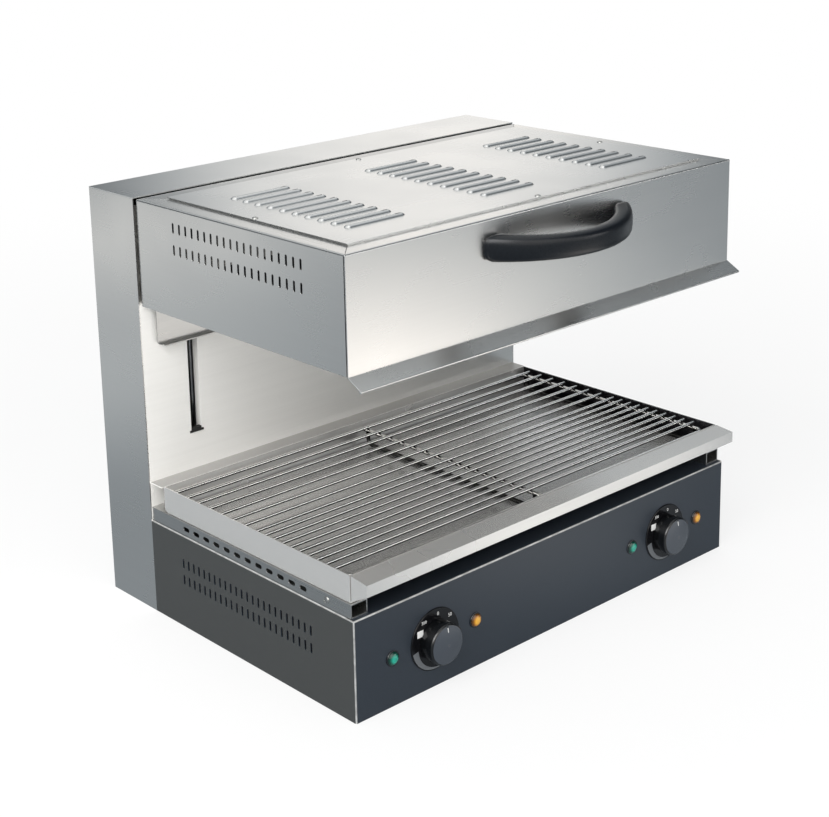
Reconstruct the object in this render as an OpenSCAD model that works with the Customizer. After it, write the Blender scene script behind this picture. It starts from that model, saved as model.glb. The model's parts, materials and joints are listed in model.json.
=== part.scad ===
// Counter-top lift grill for melting cheese: a heated hood rides up and down a rear column above a
// wire grate in a drip tray, on a painted base that holds the controls.
// Millimetres, +Z up, +X to the right of a person facing the controls. The origin is the centre of
// the footprint, on the underside.

/* [Cabinet] */
// Width over the base and the rear column
body_w = 600; // [580:2:640]
// Depth of the base, from the column's face to the control panel
base_d = 351; // [351:1:380]
// Height of the base
base_h = 113; // [110:1:120]
// Depth of the rear column
column_d = 87; // [84:1:100]
// Height of the rear column
column_h = 491.5; // [485:0.5:520]
// Thickness of the folded sheet metal
sheet = 1.2; // [1:0.1:1.4]

/* [Hood] */
// Width of the hood
hood_w = 595.6; // [570:0.2:596]
// Height of the hood's lower edge when it is raised fully
hood_z = 368.3; // [366:0.1:372]
// Gap between the hood's back and the column's face
hood_gap = 4; // [3:0.5:6]
// How far the hood comes down
hood_travel = 140; // [100:5:140]
// Width of the border round the top cover
border_w = 24; // [20:1:28]
// Louvres in each of the three columns of the top cover
louvre_rows = 10; // [6:1:10]
// Distance from one louvre to the next
louvre_pitch = 20.7; // [19:0.1:21]

/* [Vents] */
// Slots in each row in the hood's side
hood_vents = 20; // [10:1:20]
// Slots in each row in the base's side
base_vents = 24; // [12:1:24]
// Slots in the side of each tray rail
rail_vents = 12; // [8:1:12]

/* [Tray and grate] */
// Width of the drip tray
tray_w = 592; // [560:2:592]
// Height of the tray's walls
tray_h = 30; // [26:1:32]
// Widely spaced wires at the back of the grate
back_wires = 8; // [6:1:8]
// Closely spaced wires at the front of the grate
front_wires = 9; // [6:1:9]
// Diameter of a grate wire
wire_d = 4; // [3:0.5:4]

/* [Controls] */
// Distance of each dial from the middle of the panel
dial_x = 189.3; // [160:0.1:200]
// Height of the dials and lamps above the underside
dial_z = 54.5; // [48:0.5:58]
// Diameter of a dial
dial_d = 69; // [60:1:72]
// Diameter of a knob's cap
knob_d = 46; // [38:1:50]
// Distance of each lamp from its dial's centre
lamp_offset = 60; // [52:1:66]

/* [Handle] */
// Width of the handle over its feet
handle_w = 230; // [180:5:240]
// How far the handle stands off the hood
handle_reach = 60; // [50:1:64]
// Height of the grip
handle_h = 29; // [24:1:32]

/* [Hidden] */

// Smoothness of round parts, and of the ends of the many small slots
$fn = 48;
slot_fn = 16;
// Outer radius of a fold in the sheet metal, and the gap where two folded edges meet
fold_r = 2;
mitre_gap = 0.6;

// Everything is laid out with Y = 0 on the column's face, then moved so the footprint is centred
face_y = (base_d - column_d) / 2;
half_w = body_w / 2;

// Rails, tray and grate
rail_w = 22;
rail_top = base_h + 15.6;
rail_front = -base_d + 6;
tray_z = rail_top + 0.4;
tray_top = tray_z + tray_h;
tray_back = -23;
tray_front = -base_d + 8.5;
tray_corner = 6;
lip_back = tray_front - 1.5;
lip_front = -base_d - 17;
ledge_d = 21.5;
ledge_top = tray_top - 0.4;
wire_r = wire_d / 2;
rod_r = 2.5;
weld = 0.2;
runner_z = tray_z + sheet + 0.4 + rod_r;
frame_rod_z = tray_top - 8.7;
wire_z = frame_rod_z + rod_r + wire_r - weld;
grate_back = tray_back - sheet - rod_r - 0.6;
grate_front = tray_front + 12.5;
grate_x = tray_w / 2 - 9;
back_pitch = 21;
front_pitch = 14.2;

// Hood
hood_half = hood_w / 2;
hood_top = hood_z + 122;
hood_front_y = -base_d - 0.3;
hood_back_y = -hood_gap;
apron_half = 281;
apron_z = 319;
seam = 1.4;
flange_w = border_w + 10;
cover_rise = 1.2;
cover_t = 0.8;
cover_top = hood_top + cover_rise + cover_t;
reflector_z = hood_z + 40;
element_r = 4;
element_z = hood_z + 20;
element_pitch = 46;
element_runs = 6;
element_x = 25;
reflector_back = -55;
louvre_w = 80;
louvre_d = 9;
louvre_rise = 2.4;
louvre_r = (louvre_d * louvre_d / 4 + louvre_rise * louvre_rise) / (2 * louvre_rise);
louvre_groups_x = [-193.5, 0, 193.5];
louvre_first_y = -91;

// Column, slots and lift
slot_x = 231;
slot_w = 14.4;
slot_bottom = 203.5;
slot_top = 476;
slot_fold = 10;
rod_x = 205;
rod_y = 42;
guide_r = 6;
running_fit = 0.05;
bush_r = 11;
bush_h = 30;
arm_w = 8;
arm_bottom = 349;
arm_top = 470;
beam_z = 318;
beam_h = 25;
bracket_h = 12;
upper_bracket_z = 474;
lower_bracket_z = 160;
spring_x = 140;
spring_r = 9;
spring_wire_r = 1.2;
spring_turns = 24;

// Controls
panel_front = -base_d;
panel_return = 12;
shaft_r = 3;
nose_r = 5;
lamp_r = 7.5;
knob_face = 22;
handle_z = 445.5;

// A box from three [low, high] spans
module span(x, y, z) {
    translate([x[0], y[0], z[0]]) cube([x[1] - x[0], y[1] - y[0], z[1] - z[0]]);
}

module at_face() {
    translate([0, face_y, 0]) children();
}

module both_sides() {
    children();
    mirror([1, 0, 0]) children();
}

// A slot with round ends in the XY plane, long in X
module obround(length, width) {
    square([length - width, width], center = true);
    for (s = [-1, 1]) {
        translate([s * (length - width) / 2, 0]) circle(d = width, $fn = slot_fn);
    }
}

// A row of slots cut through a wall that faces X: upright ones, or lying ones
module slots_through_x(x, first_y, z, count, pitch, length, width, upright = true) {
    for (i = [0 : count - 1]) {
        translate([x, first_y - i * pitch, z])
            rotate([0, 90, 0])
                linear_extrude(6, center = true)
                    rotate(upright ? 0 : 90) obround(length, width);
    }
}

// A prism along X from an outline drawn in Y and Z
module along_x(x) {
    translate([x[0], 0, 0]) rotate([90, 0, 90]) linear_extrude(x[1] - x[0]) children();
}

// A prism along Y from an outline drawn in X and Z
module along_y(y) {
    translate([0, y[1], 0]) rotate([90, 0, 0]) linear_extrude(y[1] - y[0]) children();
}

// Section of a sheet folded over at its top: its outer face is on the left, from zero up to height
module fold_section(height, flange) {
    difference() {
        union() {
            square([flange, height - fold_r]);
            translate([fold_r, 0]) square([flange - fold_r, height]);
            translate([fold_r, height - fold_r]) circle(r = fold_r);
        }
        translate([sheet, -1]) square([flange, height - fold_r + 1]);
        translate([fold_r, -1]) square([flange, height - sheet + 1]);
        translate([fold_r, height - fold_r]) circle(r = fold_r - sheet);
    }
}

// Plan of a sheet whose two ends are folded back: its outer face is on the X axis
module channel_plan(half, depth) {
    difference() {
        union() {
            translate([-half, fold_r]) square([2 * half, depth - fold_r]);
            translate([-half + fold_r, 0]) square([2 * (half - fold_r), depth]);
            for (s = [-1, 1]) {
                translate([s * (half - fold_r), fold_r]) circle(r = fold_r);
            }
        }
        translate([-half + sheet, fold_r]) square([2 * (half - sheet), depth]);
        translate([-half + fold_r, sheet]) square([2 * (half - fold_r), depth]);
        for (s = [-1, 1]) {
            translate([s * (half - fold_r), fold_r]) circle(r = fold_r - sheet);
        }
    }
}

// A bolt head, or a round part, that stands out along -Y
module disc_y(x, y, z, r, length) {
    translate([x, y, z]) rotate([90, 0, 0]) cylinder(r = r, h = length);
}

// A cross recess in a screw head that faces along -Z of its own frame
module cross_recess(size, depth) {
    for (a = [0, 90]) {
        rotate(a) translate([-size / 2, -size / 8, -depth]) cube([size, size / 4, 2 * depth]);
    }
}

// A pan-head screw standing on the XY plane
module pan_screw(head_r, head_h, shank_r, shank_l) {
    difference() {
        intersection() {
            cylinder(r = head_r, h = head_h);
            translate([0, 0, head_h - 2 * head_r]) sphere(r = 2 * head_r);
        }
        translate([0, 0, head_h]) cross_recess(head_r * 1.2, head_h / 2);
    }
    translate([0, 0, -shank_l]) cylinder(r = shank_r, h = shank_l);
}

// ---- Base ----

// Side wall, folded over at its top; the panel's flange covers the fold's front end
module base_side() {
    color([0.24, 0.25, 0.25]) at_face() difference() {
        along_y([panel_front + panel_return, 0]) translate([-half_w, 0]) fold_section(base_h, border_w);
        span([-half_w + fold_r, -half_w + border_w + 1], [panel_front, panel_front + border_w],
             [base_h - sheet - 1, base_h + 1]);
        slots_through_x(-half_w, -59.7, 78.7, base_vents, 9.7, 11.4, 3);
        slots_through_x(-half_w, -59.7, 59, base_vents, 9.7, 11.4, 3);
    }
}

module base_side_left() {
    base_side();
}

module base_side_right() {
    mirror([1, 0, 0]) base_side();
}

// Front panel, folded over at its top and round both corners
module control_panel() {
    color([0.22, 0.24, 0.28]) at_face() difference() {
        union() {
            difference() {
                translate([0, panel_front, 0]) linear_extrude(base_h) channel_plan(half_w, panel_return);
                span([-half_w + fold_r, half_w - fold_r], [panel_front - 1, panel_front + border_w],
                     [base_h - fold_r, base_h + 1]);
            }
            along_x([-half_w + fold_r, half_w - fold_r])
                translate([panel_front, base_h - 2 * fold_r]) fold_section(2 * fold_r, border_w);
            span([-half_w + 2 * fold_r, half_w - 2 * fold_r], [panel_front + sheet / 2, panel_front + 14],
                 [0, sheet]);
        }
        for (side = [-1, 1]) {
            disc_y(side * dial_x, panel_front + 3, dial_z, nose_r + 0.2, 6);
            for (lamp = [-1, 1]) {
                disc_y(side * dial_x + lamp * lamp_offset, panel_front + 3, dial_z, 6, 6);
            }
        }
    }
}

// Plate under the tray, between the rails
module base_deck() {
    color([0.2, 0.2, 0.2]) at_face() difference() {
        span([-half_w + border_w, half_w - border_w], [panel_front + border_w, -0.1],
             [base_h - sheet, base_h]);
        for (x = [-180 : 60 : 180]) {
            translate([x, -60, base_h]) linear_extrude(6, center = true) rotate(90) obround(40, 6);
        }
    }
}

module leg_places() {
    for (x = [-1, 1], y = [-1, 1]) {
        translate([x * (half_w - 30), y * 184, 0]) children();
    }
}

module base_floor() {
    color([0.55, 0.56, 0.57]) difference() {
        translate([0, face_y, 0]) {
            span([-half_w + sheet, half_w - sheet], [panel_front + 14.2, column_d - sheet], [0, sheet]);
            both_sides() span([-half_w + sheet, -half_w + 2 * sheet], [panel_front + 20, -20], [0, 12]);
        }
        leg_places() translate([0, 0, -1]) cylinder(r = 4, h = 4);
        for (x = [-150 : 25 : 150]) {
            translate([x, -40, 0]) linear_extrude(6, center = true) rotate(90) obround(60, 5);
        }
    }
}

module leg_inserts() {
    color([0.75, 0.76, 0.78]) leg_places() translate([0, 0, sheet]) difference() {
        cylinder(r = 8, h = 12);
        translate([0, 0, -1]) cylinder(r = 4, h = 14);
    }
}

// Square tube, open at the front, with a row of slots in its outer wall
module tray_rail() {
    color([0.78, 0.78, 0.77]) at_face() difference() {
        span([-half_w + 2, -half_w + 2 + rail_w], [rail_front, -0.1], [base_h, rail_top]);
        span([-half_w + 2 + sheet, -half_w + 2 + rail_w - sheet], [rail_front - 1, -0.1 - sheet],
             [base_h + sheet, rail_top - sheet]);
        slots_through_x(-half_w + 2, -65.7, base_h + 8, rail_vents, 18.6, 11, 5, upright = false);
        translate([-half_w + 2, -307, base_h + 7.5]) rotate([0, 90, 0])
            cylinder(r = 2, h = 8, center = true);
    }
}

module tray_rail_left() {
    tray_rail();
}

module tray_rail_right() {
    mirror([1, 0, 0]) tray_rail();
}

module rail_screws() {
    color([0.6, 0.6, 0.6]) at_face() both_sides()
        translate([-half_w + 2, -307, base_h + 7.5]) rotate([0, -90, 0]) pan_screw(4.2, 1.8, 2, 3);
}

// ---- Rear column ----

module column_side() {
    color([0.7, 0.71, 0.72]) at_face() {
        span([-half_w, -half_w + sheet], [0, column_d], [0, column_h - sheet]);
        span([-half_w + sheet, -half_w + 10], [sheet, 2 * sheet], [base_h, column_h - sheet]);
        span([-half_w + sheet, -half_w + 12], [column_d - 2 * sheet, column_d - sheet],
             [sheet, column_h - sheet]);
    }
}

module column_side_left() {
    column_side();
}

module column_side_right() {
    mirror([1, 0, 0]) column_side();
}

module column_top() {
    color([0.74, 0.76, 0.78]) at_face() {
        span([-half_w, half_w], [0, column_d], [column_h - sheet, column_h]);
        span([-half_w + 12, half_w - 12], [column_d - 2 * sheet, column_d - sheet],
             [column_h - 16, column_h - sheet]);
    }
}

// Polished sheet with a ledge over the tray's back, and two slots with folded edges for the lift arms
module column_face() {
    color([0.85, 0.84, 0.81]) at_face() difference() {
        union() {
            span([-half_w + sheet, half_w - sheet], [0, sheet], [base_h, column_h - sheet]);
            span([-half_w + 2, half_w - 2], [-ledge_d, 0], [ledge_top - sheet, ledge_top]);
            both_sides() for (x = [-slot_x - slot_w / 2 - sheet, -slot_x + slot_w / 2]) {
                span([x, x + sheet], [0, slot_fold], [slot_bottom, slot_top]);
            }
        }
        both_sides() span([-slot_x - slot_w / 2, -slot_x + slot_w / 2], [-2, 4], [slot_bottom, slot_top]);
    }
}

// Rubber buffer clipped over the foot of each slot
module slot_stops() {
    color([0.06, 0.06, 0.06]) at_face() both_sides() {
        span([-slot_x - slot_w / 2 - 2.2, -slot_x + slot_w / 2 + 2.2], [-1.2, 0],
             [slot_bottom - 1, slot_bottom + 1.6]);
        span([-slot_x - slot_w / 2 + 0.1, -slot_x + slot_w / 2 - 0.1], [0, 5],
             [slot_bottom, slot_bottom + 4]);
    }
}

gland_x = 210;
gland_z = 60;
gland_r = 9;

module rear_screw_places() {
    for (x = [-half_w + 8, 0, half_w - 8], z = [20, column_h - 10]) {
        translate([x, column_d, z]) rotate([-90, 0, 0]) children();
    }
    for (x = [-half_w + 8, half_w - 8]) {
        translate([x, column_d, column_h / 2]) rotate([-90, 0, 0]) children();
    }
}

module rear_cover() {
    color([0.7, 0.71, 0.72]) at_face() difference() {
        span([-half_w + sheet + 0.1, half_w - sheet - 0.1], [column_d - sheet, column_d],
             [sheet + 0.1, column_h - sheet - 0.1]);
        rear_screw_places() cylinder(r = 2, h = 10, center = true);
        translate([gland_x, column_d, gland_z]) rotate([90, 0, 0]) cylinder(r = gland_r, h = 6, center = true);
        for (side = [-1, 1], i = [0 : 9], z = [60, 420]) {
            translate([side * (60 + i * 10), column_d, z]) rotate([90, 0, 0])
                linear_extrude(6, center = true) rotate(90) obround(26, 3.6);
        }
    }
}

module rear_screws() {
    color([0.6, 0.6, 0.6]) at_face() rear_screw_places() pan_screw(4, 1.8, 2, sheet);
}

// Gland in the rear cover that takes the mains lead
module cable_gland() {
    color([0.1, 0.1, 0.1]) at_face() translate([gland_x, column_d, gland_z]) rotate([-90, 0, 0])
        difference() {
            union() {
                cylinder(r = 13, h = 5, $fn = 6);
                translate([0, 0, 5]) cylinder(r = 11, h = 9);
                translate([0, 0, 14]) rotate_extrude() polygon([[4, 0], [11, 0], [8.5, 5], [4, 5]]);
                translate([0, 0, -sheet]) cylinder(r = gland_r, h = sheet);
                translate([0, 0, -sheet - 5]) cylinder(r = 12.5, h = 5, $fn = 6);
            }
            translate([0, 0, -20]) cylinder(r = 5, h = 50);
        }
}

module terminal_block() {
    color([0.85, 0.84, 0.78]) at_face() translate([150, 30, 1.2]) difference() {
        cube([60, 24, 26]);
        for (i = [0 : 2]) {
            translate([10 + i * 20, 12, 12]) cylinder(r = 4, h = 20);
            translate([10 + i * 20, -1, 8]) rotate([-90, 0, 0]) cylinder(r = 3, h = 30);
        }
    }
}

// ---- Lift: guide rods, brackets and counterbalance springs ----

module rod_bracket(z) {
    color([0.6, 0.61, 0.6]) at_face() difference() {
        union() {
            span([-half_w + sheet, half_w - sheet], [22, 60], [z, z + 3]);
            span([-half_w + sheet, half_w - sheet], [57, 60], [z + 3, z + bracket_h]);
        }
        both_sides() translate([-rod_x, rod_y, z - 1]) cylinder(r = guide_r, h = bracket_h);
    }
}

module rod_bracket_upper() {
    rod_bracket(upper_bracket_z);
}

module rod_bracket_lower() {
    rod_bracket(lower_bracket_z);
}

module guide_rod(side) {
    color([0.88, 0.89, 0.9]) at_face()
        translate([side * rod_x, rod_y, lower_bracket_z])
            cylinder(r = guide_r, h = upper_bracket_z - lower_bracket_z + 8);
}

module guide_rod_left() {
    guide_rod(-1);
}

module guide_rod_right() {
    guide_rod(1);
}

// A wire swept along a helix, closed at both ends
module coil(r, wire, turns, height, per_turn = 10, sides = 6) {
    steps = turns * per_turn;
    points = [
        for (i = [0 : steps], j = [0 : sides - 1])
            let (a = 360 * i / per_turn, b = 360 * j / sides, d = r + wire * cos(b))
                [d * cos(a), d * sin(a), height * i / steps + wire * sin(b)]
    ];
    walls = [
        for (i = [0 : steps - 1], j = [0 : sides - 1])
            let (k = (j + 1) % sides)
                [i * sides + j, (i + 1) * sides + j, (i + 1) * sides + k, i * sides + k]
    ];
    start_cap = [for (j = [0 : sides - 1]) j];
    end_cap = [for (j = [sides - 1 : -1 : 0]) steps * sides + j];
    polyhedron(points, concat(walls, [start_cap, end_cap]), convexity = 10);
}

module lift_spring(side) {
    bottom = beam_z + beam_h;
    top = upper_bracket_z;
    color([0.5, 0.5, 0.5]) at_face() translate([side * spring_x, rod_y, bottom + spring_wire_r])
        coil(spring_r, spring_wire_r, spring_turns, top - bottom - 2 * spring_wire_r);
}

module lift_spring_left() {
    lift_spring(-1);
}

module lift_spring_right() {
    lift_spring(1);
}

// ---- Controls ----

module dial(side) {
    color([0.05, 0.05, 0.06]) at_face() difference() {
        translate([side * dial_x, panel_front, dial_z]) rotate([90, 0, 0])
            rotate_extrude() polygon([[nose_r + 0.2, 0], [dial_d / 2, 0], [dial_d / 2, 0.9],
                                      [dial_d / 2 - 0.6, 1.5], [nose_r + 0.2, 1.5]]);
    }
}

module dial_left() {
    dial(-1);
}

module dial_right() {
    dial(1);
}

// Thermostat behind the panel; its threaded nose passes through the panel and carries the shaft
module thermostat(side) {
    color([0.8, 0.79, 0.75]) at_face() translate([side * dial_x, panel_front + sheet, dial_z])
        difference() {
            union() {
                span([-22, 22], [0, 1.5], [-16, 16]);
                span([-16, 16], [1.5, 32], [-16, 16]);
                rotate([90, 0, 0]) cylinder(r = nose_r, h = sheet + 1.5);
                for (x = [-10, 10]) {
                    span([x - 3, x + 3], [32, 42], [-1, 1]);
                }
            }
            rotate([90, 0, 0]) cylinder(r = shaft_r + running_fit, h = 40, center = true);
        }
}

module thermostat_left() {
    thermostat(-1);
}

module thermostat_right() {
    thermostat(1);
}

// Steel shaft with a flat for the knob
module shaft(side) {
    color([0.8, 0.8, 0.8]) at_face() translate([side * dial_x, panel_front, dial_z]) difference() {
        translate([0, 18, 0]) rotate([90, 0, 0]) cylinder(r = shaft_r, h = 34);
        span([-4, 4], [-17, -5], [1.8, 4]);
    }
}

module shaft_left() {
    shaft(-1);
}

module shaft_right() {
    shaft(1);
}

// Turned knob with a proud, slightly domed cap and a mark at the rim
module knob(side) {
    r = knob_d / 2;
    gap = 2.3;
    dome_r = 105;
    edge_r = 3;
    // How far the dome has dropped where the rounded edge takes over
    drop = dome_r - sqrt(dome_r * dome_r - (r - edge_r) * (r - edge_r));
    edge_y = knob_face - drop - edge_r;
    color([0.04, 0.04, 0.05]) at_face() translate([side * dial_x, panel_front, dial_z]) difference() {
        rotate([90, 0, 0]) rotate_extrude() difference() {
            union() {
                translate([0, gap]) square([r - 1, 10]);
                translate([0, 9]) square([r, edge_y - 9]);
                translate([r - edge_r, edge_y]) circle(r = edge_r, $fn = 32);
                intersection() {
                    translate([0, 9]) square([r - edge_r, knob_face]);
                    translate([0, knob_face - dome_r]) circle(r = dome_r, $fn = 360);
                }
            }
            translate([-2 * r, 0]) square([2 * r, 3 * r]);
        }
        translate([0, 1, 0]) rotate([90, 0, 0]) difference() {
            cylinder(r = shaft_r, h = 17);
            translate([-4, 1.8, 6]) cube([8, 4, 20]);
        }
        span([-0.7, 0.7], [-knob_face - 1, -knob_face + drop + 1], [r - 5, r + 1]);
    }
}

module knob_left() {
    knob(-1);
}

module knob_right() {
    knob(1);
}

// Domed lens with a stem through the panel
module lamp(x) {
    at_face() translate([x, panel_front, dial_z]) rotate([90, 0, 0]) {
        translate([0, 0, -14]) cylinder(r = 5.95, h = 14);
        cylinder(r = lamp_r - 0.1, h = 2);
        intersection() {
            translate([0, 0, 2]) cylinder(r = lamp_r - 0.1, h = 4);
            translate([0, 0, -5.6]) sphere(r = 10.6);
        }
    }
}

module power_lamp_left() {
    color([0, 0.55, 0.4]) lamp(-dial_x - lamp_offset);
}

module power_lamp_right() {
    color([0, 0.55, 0.4]) lamp(dial_x - lamp_offset);
}

module heat_lamp_left() {
    color([0.9, 0.6, 0.1]) lamp(-dial_x + lamp_offset);
}

module heat_lamp_right() {
    color([0.9, 0.6, 0.1]) lamp(dial_x + lamp_offset);
}

module lamp_bezels() {
    color([0.1, 0.1, 0.1]) at_face() for (side = [-1, 1], lamp = [-1, 1]) {
        translate([side * dial_x + lamp * lamp_offset, panel_front, dial_z]) rotate([90, 0, 0])
            rotate_extrude() translate([lamp_r, 0]) difference() {
                square([1.2, 1.6]);
                translate([1.2, 1.6]) circle(r = 0.7);
            }
    }
}

// ---- Hood ----

// Cuts a folded flange back to the mitre that runs in from a corner at the origin, towards +X and +Y
module mitre_cut(first_y) {
    translate([0, 0, hood_top - fold_r - 1]) linear_extrude(fold_r + 2)
        polygon([[-1, first_y], [first_y + mitre_gap / 2, first_y],
                 [flange_w + mitre_gap / 2, flange_w], [flange_w + mitre_gap / 2, flange_w + 1],
                 [-1, flange_w + 1]]);
}

// A wall as wide as the hood, folded over at its top and mitred; its outer face is on the X axis
module mitred_wall() {
    difference() {
        along_x([-hood_half, hood_half]) translate([0, hood_z]) fold_section(hood_top - hood_z, flange_w);
        both_sides() translate([-hood_half, 0, 0]) mitre_cut(sheet);
    }
}

// Side wall between the two mitred walls; a seam is left open at its front edge
module hood_side() {
    y = [hood_front_y, hood_back_y];
    color([0.72, 0.73, 0.73]) at_face() difference() {
        union() {
            along_y([y[0] + sheet + 0.2, y[1] - sheet - 0.2]) translate([-hood_half, hood_z])
                fold_section(hood_top - hood_z, flange_w);
            span([-hood_half, -hood_half + 12], [y[0] + 16, y[1] - 16], [hood_z, hood_z + sheet]);
        }
        translate([-hood_half, y[0], 0]) mirror([1, -1, 0]) mitre_cut(-1);
        translate([-hood_half, y[1], 0]) mirror([0, 1, 0]) mirror([1, -1, 0]) mitre_cut(-1);
        span([-hood_half - 1, -hood_half + flange_w], [y[0], y[0] + sheet + seam],
             [hood_z - 1, hood_top - fold_r]);
        slots_through_x(-hood_half, -71, 468.7, hood_vents, 11.25, 11.6, 3.2);
        slots_through_x(-hood_half, -71, 444.3, hood_vents, 11.25, 11.6, 3.2);
        cover_screw_places() cover_screw_hole();
    }
}

module hood_side_left() {
    hood_side();
}

module hood_side_right() {
    mirror([1, 0, 0]) hood_side();
}

module handle_screw_places() {
    for (side = [-1, 1]) {
        translate([side * (handle_w / 2 - 13), hood_front_y + sheet, handle_z + handle_h / 2])
            rotate([-90, 0, 0]) children();
    }
}

module hood_front() {
    color([0.85, 0.84, 0.82]) at_face() difference() {
        union() {
            translate([0, hood_front_y, 0]) mitred_wall();
            span([-hood_half + 13, hood_half - 13], [hood_front_y, hood_front_y + 12],
                 [hood_z, hood_z + sheet]);
        }
        handle_screw_places() cylinder(r = 2.5, h = 10, center = true);
        cover_screw_places() cover_screw_hole();
    }
}

// Deflector under the hood's front edge: a sloping blade with a rolled hem
module hood_deflector() {
    run = 18.5;
    drop = 10.3;
    hem_r = 1.3;
    slope = atan(drop / run);
    color([0.75, 0.75, 0.74]) at_face() {
        along_x([-hood_half, hood_half])
            translate([hood_front_y, hood_z - 0.1]) rotate(180 + slope) {
                square([run / cos(slope) - hem_r, sheet]);
                translate([run / cos(slope) - hem_r, hem_r]) circle(r = hem_r, $fn = 24);
            }
        along_x([-hood_half + 13, hood_half - 13])
            translate([hood_front_y - 0.3, hood_z - sheet]) square([12, sheet]);
    }
}

// Rear plate: closes the hood's back, and its apron hangs below the hood to hide the slots
module hood_rear_plate() {
    color([0.74, 0.74, 0.73]) at_face() difference() {
        union() {
            translate([0, hood_back_y, 0]) mirror([0, 1, 0]) mitred_wall();
            span([-apron_half, apron_half], [hood_back_y - sheet, hood_back_y], [apron_z + 5, hood_z + 1]);
            span([-apron_half + 5, apron_half - 5], [hood_back_y - sheet, hood_back_y],
                 [apron_z, apron_z + 6]);
            both_sides() disc_y(-apron_half + 5, hood_back_y, apron_z + 5, 5, sheet);
            span([-apron_half + 5, apron_half - 5], [hood_back_y - 9, hood_back_y - sheet / 2],
                 [apron_z, apron_z + sheet]);
        }
        cover_screw_places() cover_screw_hole();
    }
}

// One pressed louvre: a long low blister, open along its rear edge
module louvre_dome(r) {
    reach = louvre_w / 2 - louvre_d / 2;
    translate([0, 0, louvre_rise - louvre_r]) intersection() {
        union() {
            rotate([0, 90, 0]) cylinder(r = r, h = 2 * reach, center = true);
            for (s = [-1, 1]) {
                translate([s * reach, 0, 0]) sphere(r = r);
            }
        }
        translate([-louvre_w, -10, louvre_r - louvre_rise - cover_t]) cube([2 * louvre_w, 20, 20]);
    }
}

module louvre_places() {
    for (x = louvre_groups_x, i = [0 : louvre_rows - 1]) {
        translate([x, louvre_first_y - i * louvre_pitch, cover_top]) children();
    }
}

// Cover plate that stands on the border by its hem, with three columns of louvres
module hood_top_cover() {
    x = hood_half - border_w;
    y = [hood_front_y + border_w, hood_back_y - border_w];
    color([0.8, 0.81, 0.82]) at_face() difference() {
        union() {
            span([-x, x], y, [cover_top - cover_t, cover_top]);
            span([-x + 2, x - 2], [y[0] + 2, y[1] - 2], [hood_top, cover_top - cover_t / 2]);
            louvre_places() louvre_dome(louvre_r);
        }
        span([-x + 9, x - 9], [y[0] + 9, y[1] - 9], [hood_top - 1, cover_top - cover_t]);
        louvre_places() {
            louvre_dome(louvre_r - cover_t);
            translate([-louvre_w / 2 + 8, louvre_d / 2 - 2.6, -1.5]) cube([louvre_w - 16, 4, 3]);
            translate([louvre_w / 2 - 8, 0.6, 0]) linear_extrude(5) obround(8, 3);
        }
        cover_screw_places() cover_screw_hole();
    }
}

module cover_screw_places() {
    inset = border_w + 5;
    middle = (hood_front_y + hood_back_y) / 2;
    for (p = [[-hood_half + inset, middle], [hood_half - inset, middle],
              [0, hood_front_y + inset], [0, hood_back_y - inset]]) {
        translate([p[0], p[1], cover_top]) children();
    }
}

module cover_screw_hole() {
    translate([0, 0, -9]) cylinder(r = 1.6, h = 10);
}

module cover_screws() {
    color([0.6, 0.6, 0.6]) at_face() cover_screw_places() pan_screw(3.2, 1.4, 1.6, 6);
}

// Polished pan over the elements that throws their heat down; it stands on the hood's folded edges
module reflector() {
    x = hood_half - 13;
    y_front = hood_front_y + 16;
    color([0.86, 0.86, 0.85]) at_face() difference() {
        union() {
            span([-x, x], [y_front, reflector_back], [hood_z + sheet, reflector_z]);
            span([-x - 11, x + 11], [y_front, reflector_back], [hood_z + sheet, hood_z + 2 * sheet]);
        }
        span([-x + 1, x - 1], [y_front + 1, reflector_back - 1], [hood_z, reflector_z - 1]);
        element_ends() cylinder(r = element_r + 0.6, h = 60, center = true);
    }
}

// The four places where the elements leave the pan, looking along +Y
module element_ends() {
    for (side = [-1, 1], i = [0, element_runs - 1]) {
        translate([side * (element_x + i * element_pitch), reflector_back, element_z])
            rotate([-90, 0, 0]) children();
    }
}

// Tube heater bent to and fro, with both ends leaving through the back of the pan
module heating_element() {
    y_front = hood_front_y + 45;
    y_back = reflector_back - 35;
    bend_r = element_pitch / 2;
    color([0.32, 0.3, 0.29]) at_face() translate([element_x, 0, element_z]) {
        for (i = [0 : element_runs - 1]) {
            is_end = i == 0 || i == element_runs - 1;
            run_back = is_end ? reflector_back + 12 : y_back;
            translate([i * element_pitch, run_back, 0]) rotate([90, 0, 0])
                cylinder(r = element_r, h = run_back - y_front);
        }
        for (i = [0 : 2 : element_runs - 2]) {
            translate([(i + 0.5) * element_pitch, y_front, 0]) rotate(180)
                rotate_extrude(angle = 180) translate([bend_r, 0]) circle(r = element_r, $fn = 24);
        }
        for (i = [1 : 2 : element_runs - 3]) {
            translate([(i + 0.5) * element_pitch, y_back, 0])
                rotate_extrude(angle = 180) translate([bend_r, 0]) circle(r = element_r, $fn = 24);
        }
        for (i = [0, element_runs - 1]) {
            translate([i * element_pitch, reflector_back + 12, 0]) rotate([-90, 0, 0])
                cylinder(r = 2, h = 14);
        }
    }
}

module heating_element_right() {
    heating_element();
}

module heating_element_left() {
    mirror([1, 0, 0]) heating_element();
}

// Straps across the pan that the elements lie on
module element_supports() {
    x = hood_half - 14;
    color([0.6, 0.6, 0.58]) at_face() for (y = [-110, -195, -280]) {
        span([-x, x], [y - 6, y + 6], [element_z - element_r - 1.5, element_z - element_r]);
        both_sides() span([-x, -x + 1.5], [y - 6, y + 6], [element_z - element_r, element_z + 8]);
    }
}

// Bow handle: a rounded section swept along an arc, lower at mid-span than at its feet
function bow_point(t, reach, half) =
    let (r = (half * half + reach * reach) / (2 * reach), a = asin(half / r))
        [r * sin(a * t), reach - r + r * cos(a * t)];

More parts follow.
